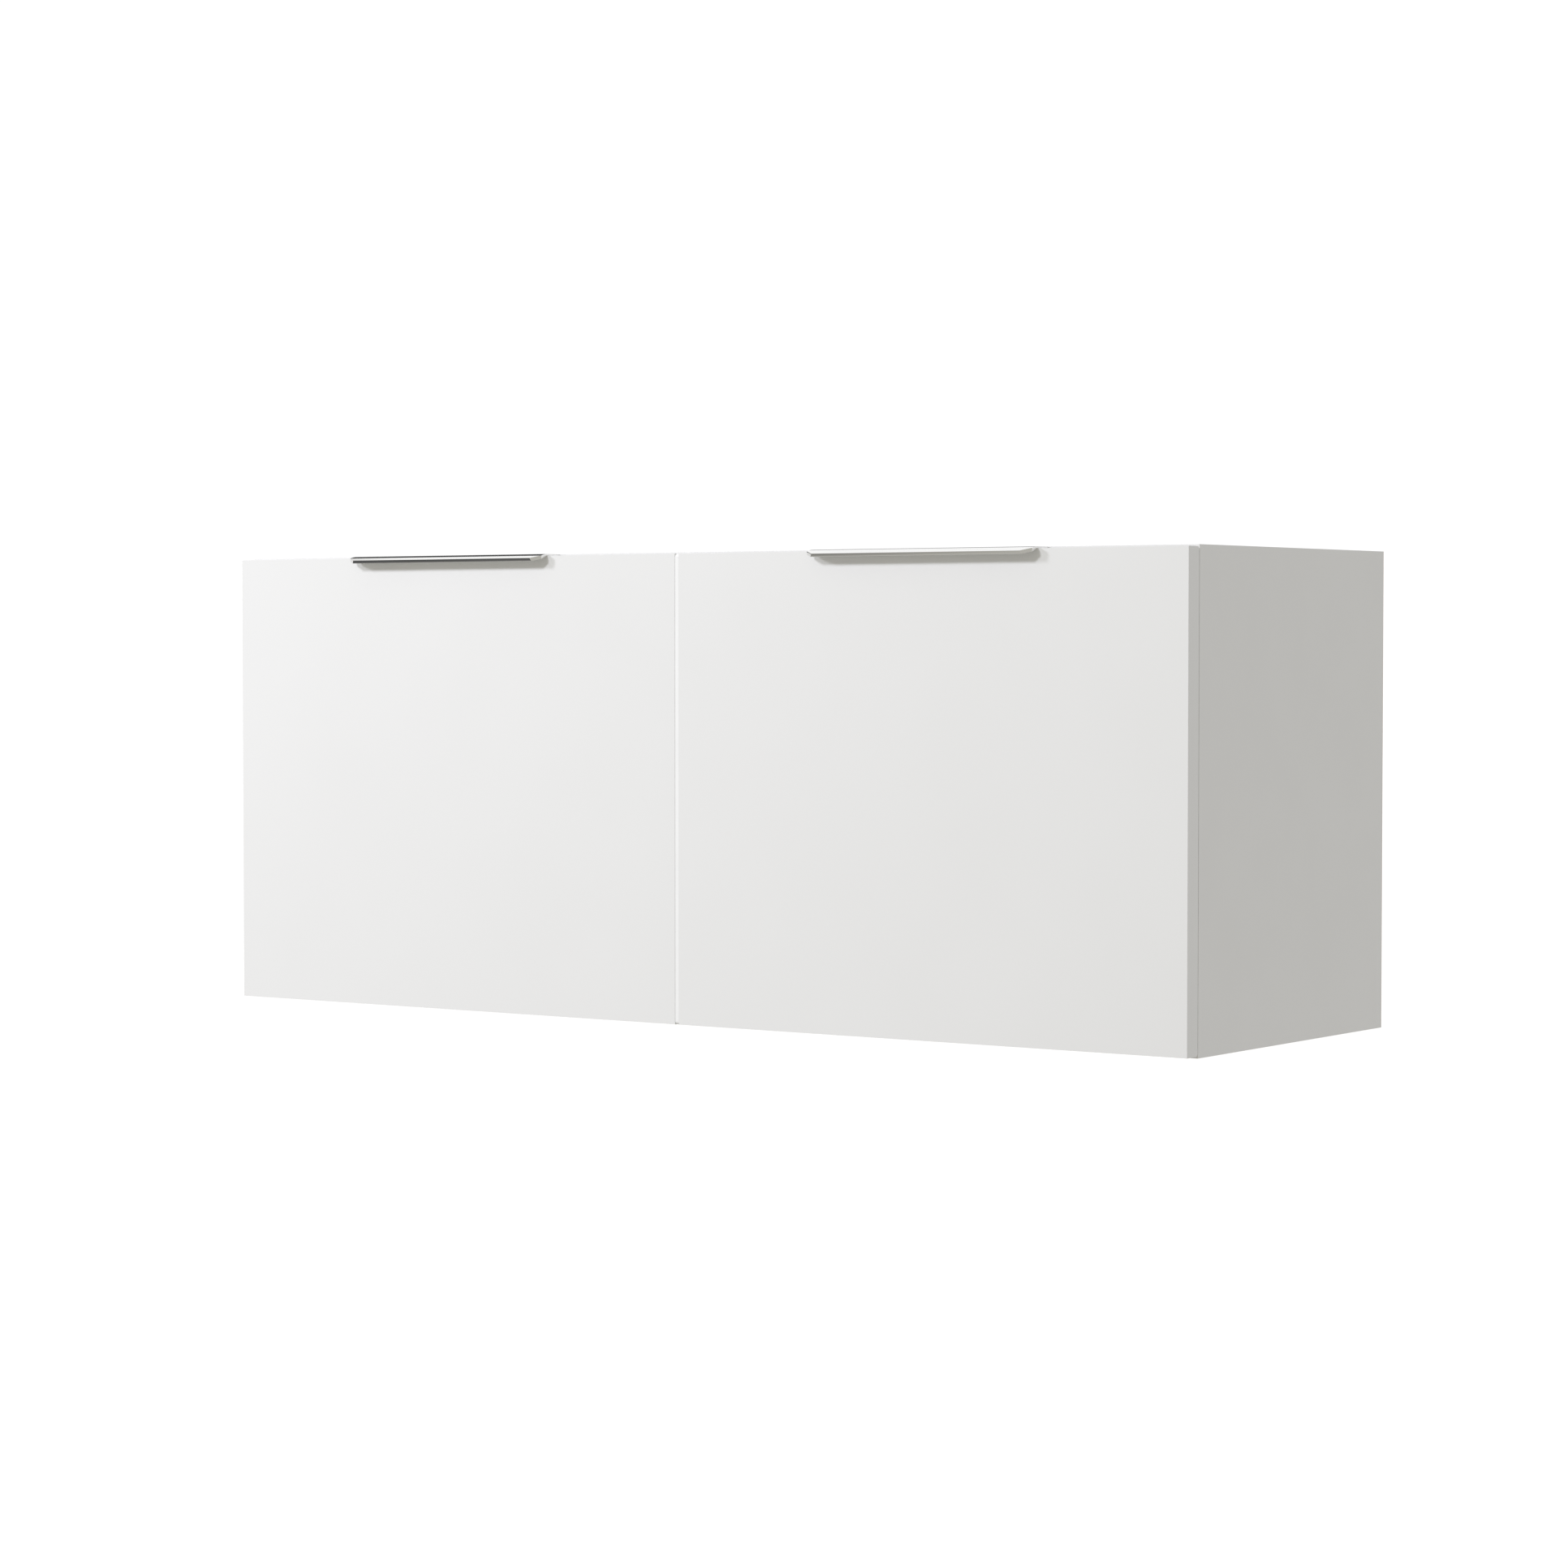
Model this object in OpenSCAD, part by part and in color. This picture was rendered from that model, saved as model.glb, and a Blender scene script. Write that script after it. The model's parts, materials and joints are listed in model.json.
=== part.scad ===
// Hanging wall cabinet with two drop-down flaps.
// Frame: +Z up, +X to the right, the wall is the plane y = 0 and the front faces -Y.
// The origin lies on the wall, midway between the slots of the wall rail.

/* [Carcass] */
// Outside width of the carcass
body_w = 1000; // [860:10:1200]
// Outside height of the carcass
body_h = 407; // [390:1:450]
// Depth of the carcass, from the wall to its front edges
body_d = 320; // [300:5:380]
// Thickness of the carcass boards
board = 16; // [16:1:18]
// Thickness of the back panel
back_t = 3; // [3:0.5:4]
// Hollow behind the back panel, which holds the wall rail
rail_space = 17; // [15:1:22]
// Height of the underside of the shelves above the carcass bottom
shelf_height = 208; // [192:4:224]
// Distance of the wall rail's slots below the carcass top
rail_drop = 55; // [52:1:60]

/* [Flaps] */
// Thickness of a flap panel
flap_t = 17; // [16:1:18]
// Gap between the carcass front edges and the flaps
front_gap = 0.6; // [0.5:0.1:1]
// Gap between the two flaps
middle_gap = 4; // [3:0.5:6]
// Radius of a flap's rear upper and lower edges
rear_round = 3; // [3:0.5:5]
// Height of the carcass edge that stays uncovered above and below a flap
reveal = 1.5; // [1.5:0.1:2]
// Opening angle of the drawn flaps, linkage included
flap_angle = 0; // [0:5:90]

/* [Edge pulls] */
// Length of an edge pull
pull_l = 220; // [160:10:300]
// Reach of the lip in front of the flap
lip_reach = 14; // [10:0.5:16]
// Fall of the lip from the flange to its front edge
lip_fall = 3.6; // [3:0.1:5]
// Slope of the lip, in degrees
lip_slope = 20; // [18:1:26]
// Thickness of the lip
lip_t = 2.9; // [1.8:0.1:3]

/* [Hardware] */
// Distance of each hinge from the end of its flap
hinge_inset = 90; // [80:5:120]
// Spacing of the inner pair of rail slots
inner_slots = 320; // [200:10:400]

/* [Hidden] */

$fn = 48;
eps = 0.01;              // overrun of a cutting tool
fit = 0.05;              // radial clearance round a screw, dowel or shaft
white = [0.93, 0.93, 0.92];
steel = [0.72, 0.73, 0.75];
zinc = [0.62, 0.63, 0.65];
grey_plastic = [0.60, 0.61, 0.62];
beech = [0.80, 0.66, 0.48];

// Planes of the carcass
z_top = rail_drop;
z_bottom = z_top - body_h;
z_floor = z_bottom + board;          // upper face of the bottom panel
z_ceiling = z_top - board;           // lower face of the top panel
x_side = body_w / 2 - board;         // inner face of the right side panel
y_front = -body_d;                   // front edges of the carcass
y_back = -rail_space - back_t;       // front face of the back panel

// Flaps
flap_x = (body_w / 2 + middle_gap / 2) / 2;      // middle of the right flap
flap_low = z_bottom + reveal;
flange_t = 1.5;                      // flange of an edge pull, on the flap's upper edge
flap_high = z_top - flange_t - 0.1;
flap_rear = y_front - front_gap;
flap_face = flap_rear - flap_t;

// Strip between the flaps
strip_clear = 0.15;                  // beside each flap
strip_back = 0.15;                   // its front face lies this far behind the flaps' faces
strip_round = 3;                     // radius of its front upper and lower corners
tongue_t = 2;
tongue_l = 8;

// Hinge axis of the flaps: inside the flap's thickness, close to its lower edge
axis_in = 10;                        // in front of the carcass front edges
axis_up = 6.5;                       // above the carcass bottom
y_axis = y_front - axis_in;
z_axis = z_bottom + axis_up;
hinge_xs = [middle_gap / 2 + hinge_inset, body_w / 2 - hinge_inset];

// Hinge cup, measured from the hinge axis
cup_r = 17.5;
cup_up = reveal + 3 + cup_r - axis_up;           // centre of the cup above the axis
cup_mouth = axis_in - front_gap;                 // plane of the flap's rear face
cup_deep = cup_mouth - 12.8;                     // plane of the pocket's floor
cup_flange_t = 1.2;
ear_in = 5.4;
ear_out = 8.4;
pin_r = 1.2;
arm_w = 10;

// Flap stay: a parallelogram of flap, rod, arm and carcass
stay_p = [axis_in + 12, 103.5];                  // flap pivot, from the hinge axis
stay_v = [150, 60];                              // rod, from its flap pivot to the arm
stay_o = [y_axis, z_axis];
x_housing = x_side - 12;
x_arm = x_housing - 4.4;                         // outer layer: arm and flap bracket
x_rod = x_arm - 4.2;                             // inner layer: rod
link_t = 3;
arm_shaft_r = 4;
link_pin_r = 2.5;
housing_w = 92;
housing_h = 84;
housing_mid = [12, 2];                           // centre of the housing from the shaft
housing_screws = [[-25, 34], [50, 34], [50, -32]];

// Knock-down fittings
cam_r = 7.4;
cam_h = 12.4;
cam_in = 24;                                     // cam centre from the joint
cam_ys = [-110, y_front + 45];
dowel_ys = [-150, y_front + 85];
dowel_r = 4;

// Shelves
shelf_clear = 1;
shelf_setback = 22;
shelf_z = z_bottom + shelf_height;
pin_ys = [y_back - 37, y_front + 59];
pin_pitch = 32;
pin_hole_r = 2.5;

// Suspension
rail_t = 2;
rail_l = 2 * x_side - 8;
outer_slots = rail_l - 80;                       // spacing of the outer pair of slots
lip_y = -7;                                      // front face of the rail's upper lip
lip_z = 26;                                      // top of the rail's upper lip
hook_t = 2.5;
hanger_w = 16;
hanger_mid = x_side - hanger_w / 2;
hanger_front = y_back - 42;
hanger_low = -26;
hanger_high = z_ceiling - 2.4;
peg_r = 5;
peg_zs = [-12, 20];
notch_w = 26;

// Magnetic catches
strike_t = 1.2;
magnet_y = flap_rear + strike_t + 0.2;           // front edges of the pole plates
bumper_r = 3.2;
bumper_stem_r = 2;
bumper_stem_l = 5;

// ---- shared shapes ----

// Turns the following shape so that its own x and y run along +Y and +Z, extruded along +X
module along_x(x, thick) {
    translate([x, 0, 0]) rotate([90, 0, 90]) linear_extrude(thick) children();
}

module both_sides() {
    children();
    mirror([1, 0, 0]) children();
}

// Box from its lowest and highest corners
module block(low, high) {
    translate(low) cube(high - low);
}

// Flat bar with round ends of radius r between two points of the plane, 1 mm slimmer between them
module link_outline(from, to, r) {
    run = to - from;
    translate(from) circle(r);
    translate(to) circle(r);
    translate(from) rotate(atan2(run[1], run[0])) translate([0, 1 - r])
        square([norm(run), 2 * r - 2]);
}

// Rectangle between z0 and z1, square at the y of its flat side and with corners of radius r
// at the y of its curved side
module half_rounded(flat, curved, z0, z1, r) {
    centre = curved - sign(curved - flat) * r;
    translate([min(flat, centre), z0]) square([abs(centre - flat), z1 - z0]);
    translate([min(centre, curved), z0 + r]) square([r, z1 - z0 - 2 * r]);
    for (z = [z0 + r, z1 - r])
        translate([centre, z]) circle(r);
}

module rounded_rect(w, h, r) {
    square([w - 2 * r, h], center = true);
    square([w, h - 2 * r], center = true);
    for (sx = [-1, 1], sy = [-1, 1])
        translate([sx * (w / 2 - r), sy * (h / 2 - r)]) circle(r);
}

// Countersunk screw: its head's face is at z = 0 and its shank points down
module screw(shank_r, length, head_r, head_h) {
    difference() {
        union() {
            translate([0, 0, -head_h]) cylinder(r1 = shank_r, r2 = head_r, h = head_h);
            translate([0, 0, -length]) cylinder(r = shank_r, h = length - head_h + eps);
        }
        for (a = [0, 90])
            rotate(a) cube([head_r * 1.1, 0.7, 1.6], center = true);
    }
}

module screw_hole(shank_r, length, head_r, head_h) {
    translate([0, 0, -head_h]) cylinder(r1 = shank_r + fit, r2 = head_r + fit, h = head_h);
    translate([0, 0, -length - 0.5]) cylinder(r = shank_r + fit, h = length + 0.5);
    cylinder(r = head_r + fit, h = 1);
}

// Wood screws of the fittings
module small_screw() screw(1.6, 12, 3.4, 2);
module small_screw_hole() screw_hole(1.6, 12, 3.4, 2);
module long_screw() screw(1.6, 23, 3.4, 2);
module long_screw_hole() screw_hole(1.6, 23, 3.4, 2);
module fine_screw() screw(1.3, 10, 2.6, 1.4);
module fine_screw_hole() screw_hole(1.3, 10, 2.6, 1.4);

// ---- carcass ----

// Cam and bolt places on the right-hand ends of the top and bottom panels
module end_bolts() {
    for (y = cam_ys, z = [z_bottom + board / 2, z_ceiling + board / 2])
        translate([x_side, y, z]) children();
}

module end_dowels() {
    for (y = dowel_ys, z = [z_bottom + board / 2, z_ceiling + board / 2])
        translate([x_side, y, z]) children();
}

// Bolt and dowel places at the upper and lower ends of the divider
module divider_ends(ys) {
    for (y = ys) {
        translate([0, y, z_floor]) rotate([180, 0, 0]) children();
        translate([0, y, z_ceiling]) children();
    }
}

// Cam bolt with its axis on +X: thread beyond x = 0, neck and head before it
module cam_bolt() {
    rotate([0, 90, 0]) {
        cylinder(r = 2.5, h = 10.5);
        translate([0, 0, -1]) cylinder(r = 3.4, h = 1);
        translate([0, 0, -cam_in + 5]) cylinder(r = 2, h = cam_in - 6);
        translate([0, 0, -cam_in - 3]) cylinder(r = 3, h = 4);
        translate([0, 0, -cam_in + 1]) cylinder(r = 1.4, h = 4);
    }
}

module cam_bolt_hole(depth) {
    rotate([0, 90, 0]) {
        translate([0, 0, -eps]) cylinder(r = 2.5 + fit, h = depth);
        translate([0, 0, -cam_in]) cylinder(r = 3.5, h = cam_in);
    }
}

// Cam body, hollow round the bolt's head and slotted for a screwdriver; its face is at z = 0
module cam_lock() {
    difference() {
        translate([0, 0, -cam_h]) cylinder(r = cam_r, h = cam_h);
        translate([0, 0, -board / 2]) rotate([0, 90, 0]) {
            cylinder(r = 2.6, h = cam_r + 1);
            translate([0, 0, -3.4]) cylinder(r = 3.4, h = 6.8);
        }
        for (a = [0, 90]) rotate(a) translate([0, 0, -0.6]) cube([8, 1.4, 2], center = true);
    }
}

module cam_pocket() {
    translate([0, 0, -cam_h - 0.1]) cylinder(r = cam_r + 0.1, h = cam_h + 1);
}

module dowel() {
    rotate([0, 90, 0]) translate([0, 0, -20]) cylinder(r = dowel_r, h = 30);
}

module dowel_hole() {
    rotate([0, 90, 0]) translate([0, 0, -21]) cylinder(r = dowel_r + fit, h = 32);
}

// Rows of shelf pin holes in a face at x = 0, drilled towards +X
module pin_holes(depth) {
    for (y = pin_ys, row = [-1, 0, 1])
        translate([-eps, y, shelf_z - pin_hole_r + row * pin_pitch]) rotate([0, 90, 0])
            cylinder(r = pin_hole_r + fit, h = depth);
}

module back_groove() {
    block([-body_w / 2 + board - 8, -rail_space - back_t - 0.1, z_bottom + board - 8],
        [body_w / 2 - board + 8, -rail_space + 0.1, z_top - board + 8]);
}

module side_panel() {
    difference() {
        block([x_side, y_front, z_bottom], [body_w / 2, 0, z_top]);
        back_groove();
        end_bolts() cam_bolt_hole(11);
        end_dowels() dowel_hole();
        translate([x_side, 0, 0]) pin_holes(9);
        for (z = peg_zs)
            translate([x_side - eps, y_back - 20, z]) rotate([0, 90, 0])
                cylinder(r = peg_r + fit, h = 12);
        stay_screw_places() long_screw_hole();
    }
}

module left_side_panel() {
    color(white) mirror([1, 0, 0]) side_panel();
}

module right_side_panel() {
    color(white) side_panel();
}

module top_panel() {
    color(white) difference() {
        block([-x_side, y_front, z_ceiling], [x_side, 0, z_top]);
        back_groove();
        both_sides() {
            end_bolts() cam_bolt_hole(1);
            end_dowels() dowel_hole();
            top_cam_places() cam_pocket();
            catch_screw_places() fine_screw_hole();
        }
        divider_ends(cam_ys) rotate([0, -90, 0]) cam_bolt_hole(11);
        divider_ends(dowel_ys) rotate([0, -90, 0]) dowel_hole();
    }
}

module bottom_panel() {
    color(white) difference() {
        block([-x_side, y_front, z_bottom], [x_side, 0, z_floor]);
        back_groove();
        both_sides() {
            end_bolts() cam_bolt_hole(1);
            end_dowels() dowel_hole();
            bottom_cam_places() cam_pocket();
            hinge_plate_screw_places() small_screw_hole();
        }
        divider_ends(cam_ys) rotate([0, -90, 0]) cam_bolt_hole(11);
        divider_ends(dowel_ys) rotate([0, -90, 0]) dowel_hole();
    }
}

module top_cam_places() {
    for (y = cam_ys) translate([x_side - cam_in, y, z_ceiling]) rotate([180, 0, 0]) children();
}

module bottom_cam_places() {
    for (y = cam_ys) translate([x_side - cam_in, y, z_floor]) children();
}

// Cams of the divider, in its left face, with their bolt holes towards its ends
module divider_cam_places() {
    for (y = cam_ys) {
        translate([-board / 2, y, z_ceiling - cam_in]) rotate([0, -90, 0]) children();
        translate([-board / 2, y, z_floor + cam_in]) rotate([180, 0, 0]) rotate([0, -90, 0])
            children();
    }
}

module centre_divider() {
    color(white) difference() {
        block([-board / 2, y_front, z_floor], [board / 2, y_back - 0.2, z_ceiling]);
        divider_ends(cam_ys) rotate([0, -90, 0]) cam_bolt_hole(1);
        divider_ends(dowel_ys) rotate([0, -90, 0]) dowel_hole();
        divider_cam_places() cam_pocket();
        translate([board / 2 - 7, 0, 0]) pin_holes(8);
        mirror([1, 0, 0]) translate([board / 2 - 7, 0, 0]) pin_holes(8);
        block([-tongue_t / 2 - fit, y_front - 1, z_floor - 1],
            [tongue_t / 2 + fit, y_front + tongue_l + 0.5, z_ceiling + 1]);
    }
}

// Strip between the flaps, with a tongue in the divider's front edge
module centre_strip() {
    half_w = middle_gap / 2 - strip_clear;
    rear = y_front - 0.1;
    color(white) {
        along_x(-half_w, 2 * half_w)
            half_rounded(rear, flap_face + strip_back, flap_low, flap_high, strip_round);
        block([-tongue_t / 2, rear - 1, z_floor + 0.5],
            [tongue_t / 2, y_front + tongue_l, z_ceiling - 0.5]);
    }
}

module back_panel() {
    color(white) difference() {
        block([-x_side - 7.5, -rail_space - back_t, z_floor - 7.5],
            [x_side + 7.5, -rail_space, z_ceiling + 7.5]);
        both_sides() block([x_side - notch_w, y_back - 1, hanger_low - 4],
            [x_side + 0.1, 0, z_ceiling]);
    }
}

module shelf() {
    block([board / 2 + shelf_clear, y_front + shelf_setback, shelf_z],
        [x_side - shelf_clear, y_back - 1, shelf_z + board]);
}

module left_shelf() {
    color(white) mirror([1, 0, 0]) shelf();
}

module right_shelf() {
    color(white) shelf();
}

// Stepped pin: the shank sits in the board and the shelf rests on the nose
module shelf_pin() {
    rotate([0, 90, 0]) cylinder(r = pin_hole_r, h = 6.8);
    rotate([0, -90, 0]) cylinder(r = pin_hole_r, h = 8);
    block([-0.8, -pin_hole_r - 1.6, -pin_hole_r - 5], [0, pin_hole_r + 1.6, pin_hole_r]);
}

module shelf_pins() {
    color(steel) both_sides() for (y = pin_ys) {
        translate([x_side, y, shelf_z - pin_hole_r]) shelf_pin();
        translate([board / 2, y, shelf_z - pin_hole_r]) mirror([1, 0, 0]) shelf_pin();
    }
}

module cam_locks() {
    color(zinc) {
        both_sides() {
            top_cam_places() cam_lock();
            bottom_cam_places() cam_lock();
        }
        divider_cam_places() cam_lock();
    }
}

module cam_bolts() {
    color(steel) {
        both_sides() end_bolts() cam_bolt();
        divider_ends(cam_ys) rotate([0, -90, 0]) cam_bolt();
    }
}

// Thin push-on discs that hide the cams
module cam_covers() {
    color(white) {
        both_sides() {
            top_cam_places() cylinder(r = 8.5, h = 0.8);
            bottom_cam_places() cylinder(r = 8.5, h = 0.8);
        }
        divider_cam_places() cylinder(r = 8.5, h = 0.8);
    }
}

module assembly_dowels() {
    color(beech) {
        both_sides() end_dowels() dowel();
        divider_ends(dowel_ys) rotate([0, -90, 0]) dowel();
    }
}

// ---- suspension ----

module slot_cut(x) {
    for (dx = [-9, 9]) translate([x + dx, 1, 0]) rotate([90, 0, 0]) cylinder(r = 3.5, h = 12);
    block([x - 9, -11, -3.5], [x + 9, 1, 3.5]);
}

// Steel rail: flat foot on the wall, with its upper edge stepped forward as a lip
module wall_rail() {
    color(steel) difference() {
        union() {
            block([-rail_l / 2, -rail_t, -15], [rail_l / 2, 0, 14]);
            block([-rail_l / 2, lip_y, 12], [rail_l / 2, 0, 14]);
            block([-rail_l / 2, lip_y, 12], [rail_l / 2, lip_y + rail_t, lip_z]);
        }
        for (x = [-outer_slots, -inner_slots, inner_slots, outer_slots]) slot_cut(x / 2);
    }
}

// Housing on the side panel, slotted for the hook and bored for its two screws
module hanger_housing() {
    color(grey_plastic) difference() {
        union() {
            block([x_side - hanger_w, hanger_front, hanger_low],
                [x_side, y_back - 0.3, hanger_high]);
            for (z = peg_zs) translate([x_side - eps, y_back - 20, z]) rotate([0, 90, 0])
                cylinder(r = peg_r, h = 11);
        }
        block([hanger_mid - hook_t / 2 - 0.3, hanger_front + 12, hanger_low + 6],
            [hanger_mid + hook_t / 2 + 0.3, y_back + 1, hanger_high - 2]);
        hanger_screw_places() rotate([-90, 0, 0]) {
            translate([0, 0, -1]) cylinder(r = 3.5, h = 4);
            cylinder(r = 3 + fit, h = 13);
        }
    }
}

module hanger_screw_places() {
    for (z = [-10, 20]) translate([hanger_mid, hanger_front, z]) children();
}

module left_hanger_housing() {
    mirror([1, 0, 0]) hanger_housing();
}

module right_hanger_housing() {
    hanger_housing();
}

// Flat steel hook: its notch sits on the lip of the wall rail
module hanger_hook() {
    rear = hanger_front + 13;
    color(steel) along_x(hanger_mid - hook_t / 2, hook_t) polygon([
        [rear, -15], [-28, -15], [-28, 8], [lip_y - 0.4, 8], [lip_y - 0.4, lip_z],
        [lip_y + rail_t + 0.4, lip_z], [lip_y + rail_t + 0.4, 16], [-1.6, 16],
        [-1.6, lip_z + 7], [rear, lip_z + 7]]);
}

module left_hanger_hook() {
    mirror([1, 0, 0]) hanger_hook();
}

module right_hanger_hook() {
    hanger_hook();
}

// Height and depth screws of the hangers, set in the front of each housing
module hanger_screws() {
    color(steel) both_sides() hanger_screw_places() rotate([-90, 0, 0]) difference() {
        translate([0, 0, 0.5]) cylinder(r = 3, h = 11);
        for (a = [0, 90]) rotate(a) translate([0, 0, 0.5]) cube([4.4, 0.9, 3], center = true);
    }
}

// Snap-on cap over a hanger housing, open towards the side panel and the back panel
module hanger_cover() {
    wall = 1.2;
    gap = 0.3;
    color(white) difference() {
        block([x_side - hanger_w - gap - wall, hanger_front - gap - wall,
            hanger_low - gap - wall], [x_side - 0.1, y_back - 0.4, hanger_high + gap + wall]);
        block([x_side - hanger_w - gap, hanger_front - gap, hanger_low - gap],
            [x_side + 1, y_back + 1, hanger_high + gap]);
    }
}

module left_hanger_cover() {
    mirror([1, 0, 0]) hanger_cover();
}

module right_hanger_cover() {
    hanger_cover();
}

// ---- hinges ----

// Places of the hinges of the right flap, at the hinge axis
module hinge_places() {
    for (x = hinge_xs) translate([x, y_axis, z_axis]) children();
}

// Pocket in the flap: the cup's bore, and a slot from it to the lower edge
module hinge_pocket() {
    translate([0, cup_mouth + 1, cup_up]) rotate([90, 0, 0])
        cylinder(r = cup_r, h = cup_mouth + 1 - cup_deep);
    block([-ear_out - 0.1, cup_deep, -axis_up + reveal - 1], [ear_out + 0.1, cup_mouth + 1, cup_up]);
}

module cup_screw_places() {
    for (x = [-24, 24])
        translate([x, cup_mouth + cup_flange_t, cup_up]) rotate([-90, 0, 0]) children();
}

module hinge_cup() {
    difference() {
        union() {
            translate([0, cup_mouth, cup_up]) rotate([90, 0, 0])
                cylinder(r = cup_r - 0.1, h = cup_mouth - cup_deep - 0.1);
            intersection() {
                translate([0, cup_mouth, cup_up]) rotate([-90, 0, 0]) {
                    cylinder(r = cup_r + 0.8, h = cup_flange_t);
                    linear_extrude(cup_flange_t) rounded_rect(62, 17, 4);
                }
                block([-40, cup_mouth - 1, board + 0.5 - axis_up],
                    [40, cup_mouth + cup_flange_t + 1, cup_up + 2 * cup_r]);
            }
            block([-ear_out, cup_deep + 0.1, -axis_up + reveal + 0.4], [ear_out, 5, 6]);
        }
        translate([0, cup_mouth + 2, cup_up]) rotate([90, 0, 0])
            cylinder(r = cup_r - 1.3, h = cup_mouth + 2 - cup_deep - 1.1);
        block([-ear_in, cup_deep - 1, -axis_up], [ear_in, cup_mouth + 2, 4]);
        translate([-10, 0, 0]) rotate([0, 90, 0]) cylinder(r = pin_r + 0.02, h = 20);
        cup_screw_places() small_screw_hole();
    }
    difference() {
        for (s = [-1, 1]) block([min(s * ear_in, s * ear_out), cup_deep + 0.1, -4.6],
            [max(s * ear_in, s * ear_out), 5, 6]);
        translate([-10, 0, 0]) rotate([0, 90, 0]) cylinder(r = pin_r + 0.02, h = 20);
    }
}

module hinge_pin() {
    translate([-ear_out, 0, 0]) rotate([0, 90, 0]) cylinder(r = pin_r, h = 2 * ear_out);
}

// Arm fixed to the carcass: eye on the pin, neck out of the cup, bar over the bottom panel
module hinge_arm() {
    bar_low = board + 2 - axis_up;
    difference() {
        union() {
            translate([-arm_w / 2, 0, 0]) rotate([0, 90, 0]) cylinder(r = 3, h = arm_w);
            block([-arm_w / 2, -1.8, 0], [arm_w / 2, 1.8, bar_low + 3.5]);
            block([-arm_w / 2, -1.8, bar_low], [arm_w / 2, axis_in + 64, bar_low + 3.5]);
            block([-8, axis_in + 14, bar_low], [8, axis_in + 64, bar_low + 3.5]);
        }
        translate([-arm_w, 0, 0]) rotate([0, 90, 0]) cylinder(r = pin_r + 0.06, h = 2 * arm_w);
        arm_screw_place() screw_hole(1.9, 5, 4.2, 2);
    }
}

module arm_screw_place() {
    translate([0, axis_in + 52, board + 5.5 - axis_up]) children();
}

// Cross-shaped plate between the arm and the bottom panel
module hinge_plate() {
    low = board - axis_up;
    difference() {
        union() {
            block([-8, axis_in + 12, low], [8, axis_in + 66, low + 2]);
            block([-23, axis_in + 28, low], [23, axis_in + 46, low + 2]);
        }
        plate_screw_places() small_screw_hole();
        arm_screw_place() screw_hole(1.9, 5, 4.2, 2);
    }
}

module plate_screw_places() {
    for (x = [-16, 16]) translate([x, axis_in + 37, board + 2 - axis_up]) children();
}

module hinge_plate_screw_places() {
    hinge_places() plate_screw_places() children();
}

module hinge_arms() {
    color(steel) both_sides() hinge_places() hinge_arm();
}

module hinge_plates() {
    color(steel) both_sides() hinge_places() hinge_plate();
}

module hinge_arm_screws() {
    color(steel) both_sides() hinge_places() arm_screw_place() screw(1.9, 5, 4.2, 2);
}

module hinge_plate_screws() {
    color(steel) both_sides() hinge_plate_screw_places() small_screw();
}

// ---- flap stays ----

// Moves a child drawn about the stay's shaft to its place in the side view
module at_shaft() {
    translate([0, stay_o[0] + stay_v[0], stay_o[1] + stay_v[1]]) children();
}

module stay_screw_places() {
    at_shaft() for (p = housing_screws)
        translate([x_housing, p[0], p[1]]) rotate([0, -90, 0]) children();
}

// Flat closed housing with the spring unit, bored for the arm's shaft
module stay_housing() {
    color(grey_plastic) difference() {
        at_shaft() along_x(x_housing, x_side - x_housing)
            translate(housing_mid) rounded_rect(housing_w, housing_h, 10);
        at_shaft() translate([x_housing - 1, 0, 0]) rotate([0, 90, 0])
            cylinder(r = arm_shaft_r + fit, h = 9.2);
        stay_screw_places() long_screw_hole();
    }
}

module left_stay_housing() {
    mirror([1, 0, 0]) stay_housing();
}

module right_stay_housing() {
    stay_housing();
}

module stay_housing_screws() {
    color(steel) both_sides() stay_screw_places() long_screw();
}

// Turns a child about a point of the side view
module turned(centre, angle) {
    translate([0, centre[0], centre[1]]) rotate([angle, 0, 0])
        translate([0, -centre[0], -centre[1]]) children();
}

module opened() {
    turned(stay_o, flap_angle) children();
}

// Arm: a flat bar on the shaft, with the rod's pin at its far end
module stay_arm() {
    shaft = stay_o + stay_v;
    tip = shaft + stay_p;
    color(steel) turned(shaft, flap_angle) {
        difference() {
            along_x(x_arm, link_t) link_outline(shaft, tip, 8);
            translate([x_arm - 1, shaft[0] + stay_p[0] / 2, shaft[1] + stay_p[1] / 2])
                rotate([0, 90, 0]) cylinder(r = 2.2, h = 6);
        }
        translate([x_arm - 1, shaft[0], shaft[1]]) rotate([0, 90, 0])
            cylinder(r = arm_shaft_r, h = 12.2);
        translate([x_rod - 1.2, tip[0], tip[1]]) rotate([0, 90, 0])
            cylinder(r = link_pin_r, h = 6.2);
        translate([x_rod - 1.6, tip[0], tip[1]]) rotate([0, 90, 0]) cylinder(r = 4, h = 1.2);
    }
}

// Rod between the flap bracket and the arm; its hole at the arm is the linkage's open pivot
module stay_rod() {
    from = stay_o + stay_p;
    to = from + stay_v;
    color(steel) opened() turned(from, -flap_angle) difference() {
        along_x(x_rod, link_t) link_outline(from, to, 6.5);
        translate([x_rod - 1, from[0], from[1]]) rotate([0, 90, 0])
            cylinder(r = link_pin_r + fit, h = 6);
        translate([x_rod - 1, to[0], to[1]]) rotate([0, 90, 0])
            cylinder(r = link_pin_r + 0.3, h = 6);
    }
}

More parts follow.
